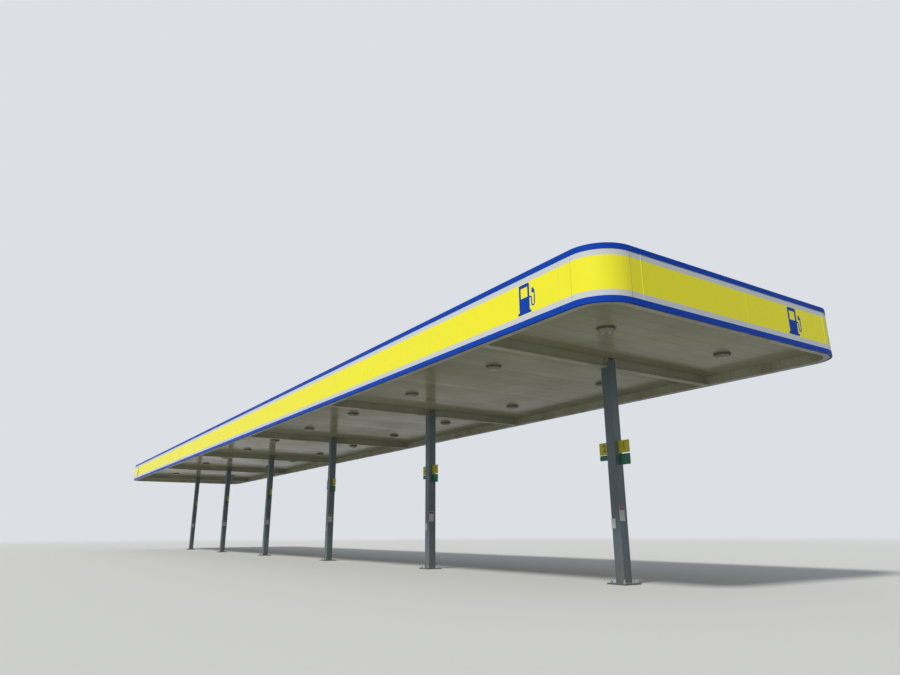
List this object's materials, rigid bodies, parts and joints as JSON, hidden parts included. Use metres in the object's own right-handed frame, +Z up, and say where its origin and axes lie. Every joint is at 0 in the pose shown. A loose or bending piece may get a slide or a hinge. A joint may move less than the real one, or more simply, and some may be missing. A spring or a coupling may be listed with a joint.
{
  "type": "filling station canopy, 1:2 scale model",
  "caption": "Long flat filling station canopy on a central row of square columns, with a rounded striped fascia, pan deck, gutters and round soffit lights.",
  "frame": {"origin": "on the ground, under the middle of the canopy", "axes": "+X along the length towards the end with column 1, +Y across to the back, +Z up; the front long side faces -Y"},
  "size_m": [23.71, 3.835, 2.96],
  "materials": {
    "column_paint": "semi-gloss blue-grey paint",
    "beam_paint": "off-white paint",
    "purlin_galvanised": "galvanised, dull",
    "deck_paint": "factory white enamel, semi-gloss",
    "gutter_paint": "factory white enamel",
    "trim_blue": "gloss blue",
    "fascia_panel": "gloss yellow with a light grey stripe along the top and the bottom",
    "frame_galvanised": "galvanised, dull",
    "light_housing": "bronze-grey enamel",
    "light_lens": "ribbed glass, unlit"
  },
  "bodies": {
    "root": {"bottom_trim_back": "trim_blue", "bottom_trim_corners": "trim_blue", "bottom_trim_ends": "trim_blue", "bottom_trim_front": "trim_blue", "column_1": "column_paint", "column_2": "column_paint", "column_3": "column_paint", "column_4": "column_paint", "column_5": "column_paint", "column_6": "column_paint", "cross_beam_1": "beam_paint", "cross_beam_2": "beam_paint", "cross_beam_3": "beam_paint", "cross_beam_4": "beam_paint", "cross_beam_5": "beam_paint", "cross_beam_6": "beam_paint", "deck_bay_1": "deck_paint", "deck_bay_2": "deck_paint", "deck_bay_3": "deck_paint", "deck_bay_4": "deck_paint", "deck_bay_5": "deck_paint", "deck_bay_6": "deck_paint", "deck_bay_7": "deck_paint", "fascia_frame_back": "frame_galvanised", "fascia_frame_ends": "frame_galvanised", "fascia_frame_front": "frame_galvanised", "fascia_panels_back": "fascia_panel", "fascia_panels_corners": "fascia_panel", "fascia_panels_ends": "fascia_panel", "fascia_panels_front": "fascia_panel", "gutter_back": "gutter_paint", "gutter_corners": "gutter_paint", "gutter_ends": "gutter_paint", "gutter_front": "gutter_paint", "light_housings": "light_housing", "light_lenses": "light_lens", "purlins_back": "purlin_galvanised", "purlins_front": "purlin_galvanised", "top_trim_back": "trim_blue", "top_trim_corners": "trim_blue", "top_trim_ends": "trim_blue", "top_trim_front": "trim_blue"}
  },
  "joints": []
}
